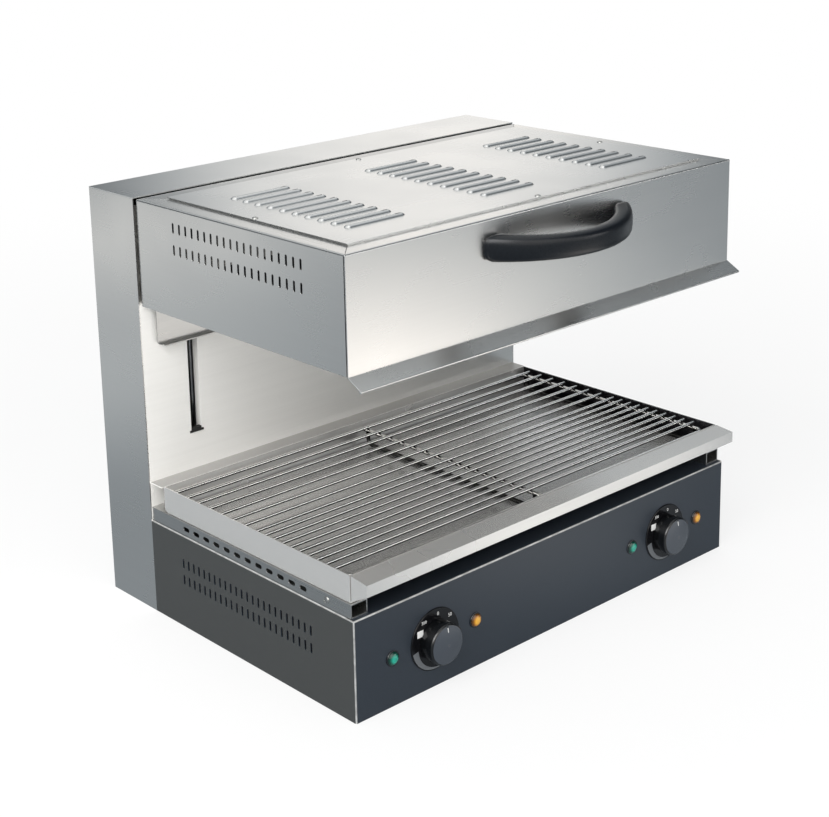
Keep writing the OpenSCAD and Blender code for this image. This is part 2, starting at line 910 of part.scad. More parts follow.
// The section shrinks near the ends, so the feet are rounded
function foot_taper(t) = sqrt(1 - 0.4 * pow(max(0, (abs(t) - 0.93) / 0.07), 2));

// A rounded rectangle of the given half sizes, as a superellipse
function section_point(a, half_x, half_y) =
    let (c = cos(a), s = sin(a), n = 0.55)
        [half_x * sign(c) * pow(abs(c), n), half_y * sign(s) * pow(abs(s), n)];

module handle() {
    steps = 28;
    sides = 20;
    outer_half = handle_w / 2;
    inner_half = outer_half - 27;
    inner_reach = handle_reach - 19;
    points = [
        for (i = [0 : steps], j = [0 : sides - 1])
            let (
                t = sin(-90 + 180 * i / steps),
                outer = bow_point(t, handle_reach, outer_half),
                inner = bow_point(t, inner_reach, inner_half),
                rise = 2 * t * t,
                taper = foot_taper(t),
                s = section_point(360 * j / sides + 9, taper, taper * ((handle_h - 4) / 2 + rise))
            )
                [(outer[0] + inner[0]) / 2 + s[0] * (outer[0] - inner[0]) / 2,
                 -(outer[1] + inner[1]) / 2 - s[0] * (outer[1] - inner[1]) / 2,
                 handle_h / 2 - 2 + rise + s[1]]
    ];
    walls = [
        for (i = [0 : steps - 1], j = [0 : sides - 1])
            let (k = (j + 1) % sides)
                [i * sides + j, (i + 1) * sides + j, (i + 1) * sides + k, i * sides + k]
    ];
    start_cap = [for (j = [0 : sides - 1]) j];
    end_cap = [for (j = [sides - 1 : -1 : 0]) steps * sides + j];
    color([0.05, 0.05, 0.05]) at_face() translate([0, hood_front_y, handle_z])
        polyhedron(points, concat(walls, [start_cap, end_cap]), convexity = 4);
}

module handle_screws() {
    color([0.6, 0.6, 0.6]) at_face() handle_screw_places() pan_screw(4.5, 2.4, 2.5, sheet);
}

// ---- Carriage: arms, bushes and beam, all fixed to the hood ----

module lift_arm() {
    block_y = [28, 56];
    color([0.62, 0.63, 0.62]) at_face() difference() {
        union() {
            span([-slot_x - arm_w / 2, -slot_x + arm_w / 2], [hood_back_y, block_y[1]],
                 [arm_bottom, arm_top]);
            span([-slot_x - arm_w / 2, -slot_x + arm_w / 2], block_y, [beam_z, arm_bottom]);
            for (z = [beam_z, arm_top - bush_h]) {
                span([-slot_x + arm_w / 2, -rod_x + 14], block_y, [z, z + bush_h]);
            }
        }
        translate([-rod_x, rod_y, beam_z - 1]) cylinder(r = bush_r, h = arm_top - beam_z + 2);
    }
}

module lift_arm_left() {
    lift_arm();
}

module lift_arm_right() {
    mirror([1, 0, 0]) lift_arm();
}

module guide_bushes() {
    color([0.72, 0.56, 0.3]) at_face() both_sides() for (z = [beam_z, arm_top - bush_h]) {
        translate([-rod_x, rod_y, z]) difference() {
            cylinder(r = bush_r, h = bush_h);
            translate([0, 0, -1]) cylinder(r = guide_r + running_fit, h = bush_h + 2);
        }
    }
}

module carriage_beam() {
    x = rod_x - 14;
    color([0.6, 0.61, 0.6]) at_face() {
        span([-x, x], [53, 56], [beam_z, beam_z + beam_h]);
        span([-x, x], [28, 53], [beam_z + beam_h - 3, beam_z + beam_h]);
    }
}

// ---- Drip tray and grate ----

// Side outline of the tray in Y and Z, with a round lower back corner
module tray_outline(inset) {
    r = tray_corner - inset;
    y = [tray_front + inset, tray_back - inset];
    z = [tray_z + inset, tray_top + 1];
    translate([y[0], z[0]]) square([y[1] - y[0] - r, z[1] - z[0]]);
    translate([y[0], z[0] + r]) square([y[1] - y[0], z[1] - z[0] - r]);
    translate([y[1] - r, z[0] + r]) circle(r = r, $fn = 32);
}

module drip_tray() {
    half = tray_w / 2;
    color([0.76, 0.75, 0.72]) at_face() difference() {
        along_x([-half, half]) tray_outline(0);
        along_x([-half + sheet, half - sheet]) tray_outline(sheet);
        span([-half - 1, half + 1], [tray_front - 1, tray_back + 1], [tray_top, tray_top + 2]);
    }
}

function lip_outline(inset) = [
    [lip_back - inset, tray_z + 2 + inset * 1.5],
    [lip_back - inset, tray_top - inset],
    [lip_front + inset, tray_top - 2.6 - inset],
    [lip_front + inset, tray_top - 15.4 + inset * 0.7],
];

// Hollow folded grip along the tray's front, joined to it by a narrower strip
module tray_lip() {
    half = tray_w / 2;
    color([0.82, 0.82, 0.8]) at_face() {
        difference() {
            along_x([-half, half]) polygon(lip_outline(0));
            along_x([-half + sheet, half - sheet]) polygon(lip_outline(sheet));
        }
        span([-half + 5, half - 5], [lip_back, tray_front], [tray_z + 4, tray_top - 1]);
    }
}

// A closed loop of rod with four round corners, lying in its own XY plane
module rod_loop(x, y, r, corner) {
    for (a = [0, 1]) {
        translate([x[0] + corner, y[a], 0]) rotate([0, 90, 0])
            cylinder(r = r, h = x[1] - x[0] - 2 * corner);
        translate([x[a], y[0] + corner, 0]) rotate([-90, 0, 0])
            cylinder(r = r, h = y[1] - y[0] - 2 * corner);
    }
    for (p = [[x[1] - corner, y[1] - corner, 0], [x[0] + corner, y[1] - corner, 90],
              [x[0] + corner, y[0] + corner, 180], [x[1] - corner, y[0] + corner, 270]]) {
        translate([p[0], p[1], 0]) rotate(p[2])
            rotate_extrude(angle = 90) translate([corner, 0]) circle(r = r);
    }
}

wire_ys = concat(
    [for (i = [0 : back_wires - 1]) -37 - i * back_pitch],
    [for (i = [1 : front_wires]) -37 - (back_wires - 1) * back_pitch - i * front_pitch]
);

// Wires laid across the frame and welded to it, their ends just past its sides
module wire_grate() {
    color([0.8, 0.8, 0.8]) at_face() for (y = wire_ys) {
        translate([0, y, wire_z]) rotate([0, 90, 0])
            cylinder(r = wire_r, h = 2 * grate_x + 10, center = true, $fn = 24);
    }
}

// Round-cornered frame under the wires, with a thinner rod from front to back at its middle
module grate_frame() {
    color([0.8, 0.8, 0.8]) at_face() {
        translate([0, 0, frame_rod_z])
            rod_loop([-grate_x, grate_x], [grate_front, grate_back], rod_r, 7.5);
        translate([0, grate_front, frame_rod_z]) rotate([-90, 0, 0])
            cylinder(r = rod_r - weld, h = grate_back - grate_front);
    }
}

// Three rods bent into long feet, welded under the frame's sides and its centre rod
module grate_runners() {
    bend = 8;
    y = [grate_front + 12, grate_back - 10];
    leg_h = frame_rod_z - rod_r + weld - runner_z - bend;
    color([0.8, 0.8, 0.8]) at_face() for (x = [-grate_x, 0, grate_x]) {
        translate([x, y[0] + bend, runner_z]) rotate([-90, 0, 0])
            cylinder(r = rod_r, h = y[1] - y[0] - 2 * bend);
        for (end = [0, 1]) {
            translate([x, y[end], runner_z + bend]) cylinder(r = rod_r, h = leg_h);
            translate([x, y[end] + (end == 0 ? bend : -bend), runner_z + bend])
                rotate([90, 0, 90]) rotate(end == 0 ? 180 : 270) rotate_extrude(angle = 90)
                    translate([bend, 0]) circle(r = rod_r);
        }
    }
}

base_side_left();
base_side_right();
control_panel();
base_deck();
base_floor();
leg_inserts();
tray_rail_left();
tray_rail_right();
rail_screws();
column_side_left();
column_side_right();
column_top();
column_face();
slot_stops();
rear_cover();
rear_screws();
cable_gland();
terminal_block();
rod_bracket_upper();
rod_bracket_lower();
guide_rod_left();
guide_rod_right();
lift_spring_left();
lift_spring_right();
dial_left();
dial_right();
thermostat_left();
thermostat_right();
power_lamp_left();
power_lamp_right();
heat_lamp_left();
heat_lamp_right();
lamp_bezels();
hood_side_left();
hood_side_right();
hood_front();
hood_deflector();
hood_rear_plate();
hood_top_cover();
cover_screws();
reflector();
heating_element_left();
heating_element_right();
element_supports();
handle();
handle_screws();
lift_arm_left();
lift_arm_right();
guide_bushes();
carriage_beam();
drip_tray();
tray_lip();
wire_grate();
grate_frame();
grate_runners();
knob_left();
knob_right();
shaft_left();
shaft_right();
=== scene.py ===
"""Looks, light and camera for the counter-top lift grill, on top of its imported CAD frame. Metres, +Z up."""
import json
import math
from functools import partial, reduce

import bpy
from mathutils import Matrix, Vector


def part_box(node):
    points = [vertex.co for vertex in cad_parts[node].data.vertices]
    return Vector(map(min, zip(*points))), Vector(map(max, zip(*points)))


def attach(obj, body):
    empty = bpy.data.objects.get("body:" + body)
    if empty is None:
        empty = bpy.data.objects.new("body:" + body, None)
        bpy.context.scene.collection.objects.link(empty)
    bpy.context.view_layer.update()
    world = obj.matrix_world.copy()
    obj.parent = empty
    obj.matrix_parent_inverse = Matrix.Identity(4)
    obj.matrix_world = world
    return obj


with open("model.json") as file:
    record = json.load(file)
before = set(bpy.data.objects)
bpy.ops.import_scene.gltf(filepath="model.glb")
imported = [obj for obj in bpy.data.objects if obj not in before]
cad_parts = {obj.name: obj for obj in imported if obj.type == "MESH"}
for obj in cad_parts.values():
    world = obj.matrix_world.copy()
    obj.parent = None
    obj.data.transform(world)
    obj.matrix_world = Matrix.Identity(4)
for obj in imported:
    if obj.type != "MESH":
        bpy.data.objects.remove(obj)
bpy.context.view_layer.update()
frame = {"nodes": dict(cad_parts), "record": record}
nodes = frame["nodes"]

MM = 0.001
SIDES = ("left", "right")


def middle(node):
    """The X and Z of a CAD node's middle."""
    low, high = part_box(node)
    return (low[0] + high[0]) / 2, (low[2] + high[2]) / 2


def add_object(name, data):
    """An object in the scene that shows the data: a camera, light, mesh or text."""
    obj = bpy.data.objects.new(name, data)
    bpy.context.scene.collection.objects.link(obj)
    return obj


def add_mesh(name, verts, faces, material):
    """An object in the scene, made of one mesh."""
    mesh = bpy.data.meshes.new(name)
    mesh.from_pydata(verts, [], faces)
    mesh.materials.append(material)
    return add_object(name, mesh)


# ---- Camera ----

# Fitted to the photograph: its size, the focal length and the pixel that the camera points at, then the
# camera's place, and its turn as a rotation vector
IMAGE_W, IMAGE_H = 829, 817
FOCAL_PX = 1680.0
CENTRE_PX = (376.8, 229.8)
CAMERA_PLACE = (-1.2896, -1.3809, 0.8942)
CAMERA_TURN = (1.71468, -0.67604, 0.49568)
# Width of the film in millimetres, and the nearest and farthest that the camera sees
FILM_W = 36
CLIP_NEAR, CLIP_FAR = 0.05, 50


def make_camera():
    """The fitted camera: its rotation vector turns the row frame into right, down and forward."""
    turn = Vector(CAMERA_TURN)
    to_camera = Matrix.Rotation(turn.length, 3, turn.normalized())
    right, down, forward = (Vector(row) for row in to_camera)
    data = bpy.data.cameras.new("camera")
    data.sensor_fit = "HORIZONTAL"
    data.sensor_width = FILM_W
    data.lens = FOCAL_PX * FILM_W / IMAGE_W
    data.shift_x = (IMAGE_W / 2 - CENTRE_PX[0]) / IMAGE_W
    data.shift_y = (CENTRE_PX[1] - IMAGE_H / 2) / IMAGE_W
    data.clip_start, data.clip_end = CLIP_NEAR, CLIP_FAR
    camera = add_object("camera", data)
    columns = Matrix((right, -down, -forward)).transposed()
    camera.matrix_world = Matrix.Translation(CAMERA_PLACE) @ columns.to_4x4()
    bpy.context.scene.camera = camera


# ---- Nodes ----

# The span over which noise mostly varies, and a wider one for the pebbles of plastic and paint
NOISE_SPAN, PEBBLE_SPAN = (0.3, 0.7), (0.3, 0.75)
BEVEL_SAMPLES = 4
# A Mix node names its sockets alike for numbers, vectors and colours: these are the colours' places
MIX_COLOURS, MIXED_COLOUR = (6, 7), 2


def put(value, socket):
    """Links another node's output to an input, or sets the input to a plain value."""
    if isinstance(value, bpy.types.NodeSocket):
        socket.id_data.links.new(value, socket)
    else:
        socket.default_value = value


def node_adder(tree):
    """A function that adds a node to the tree, with settings and inputs by name, underscores for spaces."""

    def add(kind, **values):
        node = tree.nodes.new(kind)
        for key, value in values.items():
            if hasattr(node, key) and key not in node.inputs:
                setattr(node, key, value)
            else:
                put(value, node.inputs[key.replace("_", " ")])
        return node

    return add


def new_material(name, make_shader):
    """A node material whose surface is the shader node that make_shader(add) returns."""
    material = bpy.data.materials.new(name)
    material.use_nodes = True
    material.node_tree.nodes.clear()
    add = node_adder(material.node_tree)
    add("ShaderNodeOutputMaterial", Surface=make_shader(add).outputs[0])
    return material


def even(number):
    """The same number for X, Y and Z, or for red, green and blue."""
    return (number,) * 3


# The helpers below add nodes and return what carries their result: an output, or a whole shader node


def maths(add, operation, *values, **settings):
    """One operation on one or two values, each another node's output or a plain number."""
    node = add("ShaderNodeMath", operation=operation, **settings)
    for value, socket in zip(values, node.inputs):
        put(value, socket)
    return node.outputs[0]


def vector_maths(add, operation, *vectors):
    """A number worked out from one or two vectors, such as the distance between two points."""
    node = add("ShaderNodeVectorMath", operation=operation)
    for vector, socket in zip(vectors, node.inputs):
        put(vector, socket)
    return node.outputs["Value"]


def total(add, values):
    """The sum of several values."""
    return reduce(partial(maths, add, "ADD"), values)


def split(add, vector):
    """A vector's outputs X, Y and Z."""
    return add("ShaderNodeSeparateXYZ", Vector=vector).outputs


def position(add, stretch=None):
    """The surface point in the row frame, stretched where a stretch is given."""
    point = add("ShaderNodeTexCoord").outputs["Object"]
    if stretch is None:
        return point
    return add("ShaderNodeMapping", Vector=point, Scale=stretch).outputs["Vector"]


def facing(add, axis):
    """How much the surface faces along an axis of the row frame: its normal's X, Y or Z."""
    return split(add, add("ShaderNodeTexCoord").outputs["Normal"])[axis]


def noise(add, stretch, detail=2.0, roughness=0.5):
    """Noise that is finer along an axis where its stretch is larger."""
    node = add("ShaderNodeTexNoise", Vector=position(add, stretch), Scale=1.0, Detail=detail,
               Roughness=roughness)
    return node.outputs["Fac"]


def pebbles(add, stretch):
    """The small, crisp noise of moulded plastic and of paint."""
    return noise(add, stretch, detail=3.0, roughness=0.6)


def between(add, factor, low, high):
    """A value from low to high, by noise."""
    node = add("ShaderNodeMapRange", Value=factor, From_Min=NOISE_SPAN[0], From_Max=NOISE_SPAN[1],
               To_Min=low, To_Max=high)
    return node.outputs["Result"]


def soft_step(add, value, edges, levels=(0, 1)):
    """A smooth step from the first level to the second as value goes from edge to edge."""
    node = add("ShaderNodeMapRange", interpolation_type="SMOOTHSTEP", Value=value,
               From_Min=edges[0], From_Max=edges[1], To_Min=levels[0], To_Max=levels[1])
    return node.outputs["Result"]


def ramp(add, factor, places, colours):
    """A colour that goes through the colours as factor goes through the places."""
    node = add("ShaderNodeValToRGB", Fac=factor)
    elements = node.color_ramp.elements
    while len(elements) < len(places):
        elements.new(0.5)
    for element, place, colour in zip(elements, places, colours):
        element.position = place
        element.color = (*colour, 1)
    return node.outputs["Color"]


def two_colours(add, share, first, second):
    """The first colour, going over to the second as share goes from 0 to 1."""
    node = add("ShaderNodeMix", data_type="RGBA", Factor=share)
    for colour, place in zip((first, second), MIX_COLOURS):
        put(colour, node.inputs[place])
    return node.outputs[MIXED_COLOUR]


def two_shaders(add, share, first, second):
    """The first shader, going over to the second as share goes from 0 to 1."""
    node = add("ShaderNodeMixShader", Fac=share)
    for shader, socket in zip((first, second), node.inputs[1:]):
        put(shader.outputs[0], socket)
    return node


def bump(add, height, distance, strength, rounding=0.0):
    """A normal raised by height, with edges that shade as if rounded where a rounding is given."""
    node = add("ShaderNodeBump", Height=height, Distance=distance, Strength=strength)
    if rounding:
        bevel = add("ShaderNodeBevel", samples=BEVEL_SAMPLES, Radius=rounding)
        put(bevel.outputs["Normal"], node.inputs["Normal"])
    return node.outputs["Normal"]


# ---- Materials ----
# Each function adds the nodes of one kind of material and returns its shader node. A pair of colours, such as
# tones, is a dark and a light one that noise mixes.

# How noise is stretched: the grain of upright sheets and of sheets that lie flat, clouds in gloss, the turned
# cap of a knob, and the ragged edge of the painted highlight on wire
SHEET_ACROSS, SHEET_FLAT, CLOUDS = (3, 3, 420), (3, 420, 3), even(9)
TURNED, WIRE_SPECKS = (1200, 300, 1200), even(400)
# How deep and strong a brushed grain stands, and how far clouds move its roughness
GRAIN_DEPTH, GRAIN_STRENGTH, CLOUD_GLOSS = 0.001 * MM, 0.04, 0.02

# The base's outer planes, and the depths from them at which a worn fold starts and ends
panel_low, panel_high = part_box("control_panel")
PANEL_Y, BASE_HALF_W, BASE_TOP = panel_low[1], panel_high[0], panel_high[2]
FOLD_WEAR = (0.8 * MM, 1.8 * MM)

# Ranges over which a look comes in. Heights on the column's face: where the raised hood starts to cover it,
# and the band of painted shade under the column's top, standing in for the shadow of the gap behind the hood
HOOD_BOTTOM_Z, GAP_SHADE_Z = (0.366, 0.376), (0.4825, 0.4835)
# How far up the column's ledge faces for its painted shade, then the place of the tray's painted-shade wall
# and how far left it faces
LEDGE_UP, TRAY_SHADE_X, TRAY_SHADE_LEFTWARDS = (0.05, 0.3), (0.2, 0.25), (-0.9, -0.5)
# The reflector pan's outer side, painted near black as shade seen through the vents: how far outwards its
# ends face, times their X, and how far up its top faces
PAN_OUTWARDS, PAN_UP = (0.01, 0.05), (0.4, 0.6)

LENS_R = 6.4 * MM
# A lens keeps its core's painted light up to the second share of its radius, has its rim's painted shade at
# the third, and a darker shade of that at its edge
LENS_RINGS, LENS_EDGE_SHADE = (0.0, 0.5, 0.82, 1.0), 1 / 4
LENS_RIBS, RIB_DEPTH, RIB_STRENGTH = even(700), 0.2 * MM, 0.2


def brushed_metal(add, tones, rough, grain, spread=0.05, rounding=0.4 * MM):
    """Sheet metal with a fine grain drawn out along one direction, and faint clouds in its gloss."""
    fine, clouds = noise(add, grain, detail=1.0), noise(add, CLOUDS)
    gloss = maths(add, "ADD", between(add, fine, rough - spread, rough + spread),
                  between(add, clouds, -CLOUD_GLOSS, CLOUD_GLOSS))
    return add("ShaderNodeBsdfPrincipled", Metallic=1.0, Roughness=gloss,
               Base_Color=ramp(add, fine, NOISE_SPAN, tones),
               Normal=bump(add, fine, GRAIN_DEPTH, GRAIN_STRENGTH, rounding))


def column_steel(add, face, gap_shade, ledge, metal, rough):
    """Satin sheet with painted shade: a dark band under the column's top for the gap's shadow, and the ledge
    where it faces up.

    Metal is the share that mirrors instead of scattering, at the face's left and right. Behind the raised
    hood all of it mirrors.
    """
    fine, clouds = noise(add, SHEET_ACROSS, detail=1.0), noise(add, CLOUDS)
    place = split(add, position(add))
    on_face, in_gap_shade, on_ledge = (ramp(add, fine, NOISE_SPAN, tones) for tones in (face, gap_shade, ledge))
    # Painted shade: a near-black band under the column's top stands in for the shadow in the gap behind the
    # hood
    upright = two_colours(add, soft_step(add, place["Z"], GAP_SHADE_Z), on_face, in_gap_shade)
    # Painted shade: where the ledge faces up it takes a darker colour than the upright face
    colour = two_colours(add, soft_step(add, facing(add, "Z"), LEDGE_UP), upright, on_ledge)
    mirroring = total(add, [soft_step(add, place["X"], (-BASE_HALF_W, BASE_HALF_W), metal),
                            soft_step(add, place["Z"], HOOD_BOTTOM_Z)])
    return add("ShaderNodeBsdfPrincipled", Base_Color=colour, Metallic=maths(add, "MINIMUM", mirroring, 1.0),
               Roughness=between(add, clouds, *rough))


def tray_steel(add, unshaded_tones, right_end_shade, metal, rough):
    """Satin tray steel, with painted shade: the inner side of its right end is painted near black for the
    shadow there.
    """
    fine, clouds = noise(add, SHEET_ACROSS, detail=1.0), noise(add, CLOUDS)
    # Painted shade: the right end's inner wall is painted near black, standing in for its shadow
    shaded_wall = maths(add, "MULTIPLY", soft_step(add, facing(add, "X"), TRAY_SHADE_LEFTWARDS, (1, 0)),
                       soft_step(add, split(add, position(add))["X"], TRAY_SHADE_X))
    colour = two_colours(add, shaded_wall, ramp(add, fine, NOISE_SPAN, unshaded_tones),
                         ramp(add, clouds, NOISE_SPAN, right_end_shade))
    return add("ShaderNodeBsdfPrincipled", Base_Color=colour, Metallic=metal,
               Roughness=between(add, clouds, *rough))


def wire_steel(add, side, top, reach=(0.0, 0.22), raggedness=0.04, rough=(0.18, 0.22)):
    """Wire with a painted highlight where it faces up, and painted shade at its flanks.

    Reach is how far up it faces where the top's colour starts and where it is whole.
    """
    specks = noise(add, WIRE_SPECKS)
    upwards = maths(add, "ADD", facing(add, "Z"), between(add, specks, -raggedness, raggedness))
    return add("ShaderNodeBsdfPrincipled", Metallic=1.0, Base_Color=ramp(add, upwards, reach, (side, top)),
               Roughness=between(add, specks, *rough))


def knob_plastic(add, side, cap, reach=(0.9, 0.97), raggedness=0.01, rough=(0.2, 0.25), gloss=0.7):
    """Black moulded knob with a finely turned cap, painted greyer where it faces forwards as a painted sheen.

    Reach is how far forwards it faces where the cap's colour starts and where it is whole.
    """
    specks = noise(add, TURNED)
    forwards = maths(add, "SUBTRACT", between(add, specks, -raggedness, raggedness), facing(add, "Y"))
    return add("ShaderNodeBsdfPrincipled", Base_Color=ramp(add, forwards, reach, (side, cap)),
               Roughness=between(add, specks, *rough), Specular_IOR_Level=gloss)


def grained_plastic(add, tones, rough, grain=1400, coat=0.0, rounding=0.6 * MM, depth=0.04 * MM, gloss=0.5):
    """Moulded plastic, rubber or print: a fine pebble grain with uneven gloss."""
    spread, strength, coat_rough = 0.06, 0.5, 0.12
    pebble = pebbles(add, even(grain))
    normal = bump(add, pebble, depth, strength, rounding)
    return add("ShaderNodeBsdfPrincipled", Base_Color=ramp(add, pebble, PEBBLE_SPAN, tones),
               Roughness=between(add, pebble, rough - spread, rough + spread), Specular_IOR_Level=gloss,
               Coat_Weight=coat, Coat_Roughness=coat_rough, Normal=normal)


def near_folds(add):
    """1 along the base's outer folds, where two of its front, top and side planes meet, else 0."""
    place = split(add, position(add))
    planes = ((maths(add, "ABSOLUTE", place["X"]), BASE_HALF_W, 1), (place["Y"], PANEL_Y, -1),
              (place["Z"], BASE_TOP, 1))
    close = []
    for value, plane, outwards in planes:
        near, far = (plane - outwards * depth for depth in FOLD_WEAR)
        close.append(soft_step(add, value, (far, near)))
    side, front, top = close
    return total(add, [maths(add, "MULTIPLY", *pair) for pair in ((side, front), (front, top), (side, top))])


def painted_steel(add, front, painted_side_light, bare):
    """Satin dark paint on sheet steel, with painted light making it greyer where it faces left or right, and
    bare, bright metal along its folds.
    """
    paint_grain, depth, strength, paint_rough = even(2600), 0.03 * MM, 0.4, (0.32, 0.44)
    wear_patches, wear_shares = even(90), (0.75, 1.1)
    pebble = pebbles(add, paint_grain)
    # Painted light: the paint is lighter and greyer where it faces left or right
    colour = two_colours(add, maths(add, "ABSOLUTE", facing(add, "X")),
                         ramp(add, pebble, PEBBLE_SPAN, front), ramp(add, pebble, PEBBLE_SPAN, painted_side_light))
    paint = add("ShaderNodeBsdfPrincipled", Base_Color=colour, Roughness=between(add, pebble, *paint_rough),
                Coat_Weight=0.1, Coat_Roughness=0.2, Normal=bump(add, pebble, depth, strength))
    patchy = noise(add, wear_patches, detail=3.0)
    worn = maths(add, "MULTIPLY", near_folds(add), between(add, patchy, *wear_shares), use_clamp=True)
    metal = add("ShaderNodeBsdfPrincipled", Base_Color=ramp(add, patchy, NOISE_SPAN, bare), Metallic=0.7,
                Roughness=0.35)
    return two_shaders(add, worn, paint, metal)


def lens(add, rim, core, lamp):
    """Glossy coloured lens, with painted light in its middle and painted shade towards its rim."""
    place = split(add, position(add))
    flat = add("ShaderNodeCombineXYZ", X=place["X"], Z=place["Z"]).outputs[0]
    centres = [middle(f"{lamp}_{side}") for side in SIDES]
    distances = [vector_maths(add, "DISTANCE", flat, (x, 0, z)) for x, z in centres]
    share = maths(add, "DIVIDE", maths(add, "MINIMUM", *distances), LENS_R)
    edge = tuple(part * LENS_EDGE_SHADE for part in rim)
    ribs = add("ShaderNodeTexVoronoi", Vector=position(add, LENS_RIBS), Scale=1.0).outputs["Distance"]
    return add("ShaderNodeBsdfPrincipled", Base_Color=ramp(add, share, LENS_RINGS, (core, core, rim, edge)),
               Roughness=0.1, Coat_Weight=0.6, Coat_Roughness=0.05,
               Normal=bump(add, ribs, RIB_DEPTH, RIB_STRENGTH))


def pressed_pan(add, bright, vent_shade, rough):
    """Bright reflector steel inside, rough on the side that faces out, which is painted near black as shade
    seen through the vents.

    Rough is the roughness of the inside and of the outside.
    """
    depth, strength = 0.01 * MM, 0.12
    fine = noise(add, SHEET_ACROSS, detail=1.0)
    outwards = maths(add, "MULTIPLY", split(add, position(add))["X"], facing(add, "X"))
    outside = total(add, [soft_step(add, outwards, PAN_OUTWARDS), soft_step(add, facing(add, "Z"), PAN_UP)])
    colour = two_colours(add, outside, ramp(add, fine, NOISE_SPAN, bright), ramp(add, fine, NOISE_SPAN, vent_shade))
    return add("ShaderNodeBsdfPrincipled", Metallic=1.0, Base_Color=colour,
               Roughness=soft_step(add, outside, (0, 1), rough), Normal=bump(add, fine, depth, strength))


LOOKS = {
    "stainless": partial(brushed_metal, tones=((0.775, 0.765, 0.745), (0.785, 0.775, 0.755)), rough=0.27,
                         grain=SHEET_ACROSS, spread=0.004),
    "stainless_flat": partial(brushed_metal, tones=((0.775, 0.775, 0.765), (0.785, 0.785, 0.775)), rough=0.28,
                              grain=SHEET_FLAT, spread=0.004, rounding=0.0),
    # The column's face: the dark band under its top and the ledge's darker colour are painted shade
    "polished_steel": partial(column_steel, face=((0.89, 0.88, 0.85), (0.91, 0.9, 0.87)),
                              gap_shade=(even(0.01), even(0.02)), ledge=((0.4, 0.39, 0.375), (0.42, 0.41, 0.395)),
                              metal=(0.12, 0.97), rough=(0.3, 0.35)),
    # The reflector's near-black outer colour is painted shade, seen through the hood's vents
    "reflector_steel": partial(pressed_pan, bright=((0.76, 0.75, 0.73), (0.8, 0.79, 0.77)),
                               vent_shade=((0.02, 0.018, 0.017), (0.035, 0.032, 0.03)), rough=(0.16, 0.6)),
    # The tray's near-black second colour is painted shade on its right inner wall
    "tray_steel": partial(tray_steel, unshaded_tones=((0.775, 0.765, 0.745), (0.785, 0.775, 0.755)),
                          right_end_shade=((0.012, 0.012, 0.014), (0.03, 0.03, 0.034)), metal=0.72, rough=(0.24, 0.28)),
    "rail_steel": partial(brushed_metal, tones=((0.55, 0.55, 0.54), (0.58, 0.58, 0.57)), rough=0.3,
                          grain=SHEET_ACROSS, spread=0.02),
    "galvanised": partial(brushed_metal, tones=((0.4, 0.41, 0.42), (0.5, 0.51, 0.51)), rough=0.45,
                          grain=even(140), spread=0.1),
    "screw_steel": partial(brushed_metal, tones=((0.5, 0.5, 0.49), (0.6, 0.6, 0.58)), rough=0.3,
                           grain=even(900), rounding=0.2 * MM),
    "ground_steel": partial(brushed_metal, tones=(even(0.74), even(0.8)), rough=0.15,
                            grain=(2000, 2000, 80), rounding=0.2 * MM),
    "spring_steel": partial(brushed_metal, tones=(even(0.3), even(0.4)), rough=0.35, grain=even(500),
                            rounding=0.0),
    "bronze": partial(brushed_metal, tones=((0.6, 0.4, 0.2), (0.72, 0.5, 0.26)), rough=0.4,
                      grain=even(1200), rounding=0.2 * MM),
    "element_sheath": partial(brushed_metal, tones=((0.14, 0.12, 0.11), (0.24, 0.21, 0.19)), rough=0.45,
                              grain=even(300), rounding=0.0),
    # Wire looks: the top colour is a painted highlight, the other colour painted shade
    "chromed_wire": partial(wire_steel, side=even(0.04), top=(0.95, 0.94, 0.92)),
    "dark_wire": partial(wire_steel, side=even(0.012), top=(0.07, 0.07, 0.068)),
    # The base paint's second colour pair is painted light on its left and right faces
    "base_paint": partial(painted_steel, front=((0.016, 0.0215, 0.0305), (0.027, 0.0355, 0.048)),
                          painted_side_light=((0.032, 0.034, 0.034), (0.05, 0.0525, 0.0515)),
                          bare=((0.7, 0.69, 0.67), (0.86, 0.85, 0.83))),
    "black_rubber": partial(grained_plastic, tones=(even(0.012), even(0.02)), rough=0.6),
    "black_plastic": partial(grained_plastic, tones=((0.005, 0.006, 0.008), (0.009, 0.0105, 0.013)),
                             rough=0.2, grain=1800, rounding=0.0, depth=0.01 * MM, gloss=0.9),
    # The knob's greyer cap colour is a painted sheen
    "knob_plastic": partial(knob_plastic, side=(0.002, 0.0024, 0.003), cap=(0.045, 0.053, 0.066)),
    "satin_plastic": partial(grained_plastic, tones=((0.003, 0.004, 0.006), (0.005, 0.007, 0.01)), rough=0.3,
                             grain=1800, rounding=0.0, depth=0.01 * MM, gloss=0.36),
    "gloss_black": partial(grained_plastic, tones=((0.003, 0.003, 0.004), (0.006, 0.006, 0.007)), rough=0.16,
                           coat=0.2, gloss=0.3),
    "steatite": partial(grained_plastic, tones=((0.7, 0.67, 0.6), (0.8, 0.77, 0.7)), rough=0.6, grain=500),
    # Lens colours: the core is painted light and the rim painted shade
    "green_lens": partial(lens, rim=(0.0, 0.09, 0.06), core=(0.012, 0.29, 0.21), lamp="power_lamp"),
    "amber_lens": partial(lens, rim=(0.3, 0.11, 0.004), core=(0.68, 0.35, 0.035), lamp="heat_lamp"),
    "print_white": partial(grained_plastic, tones=((0.75, 0.75, 0.74), (0.85, 0.85, 0.84)), rough=0.45),
    "print_grey": partial(grained_plastic, tones=((0.1, 0.108, 0.118), (0.13, 0.14, 0.15)), rough=0.45),
}

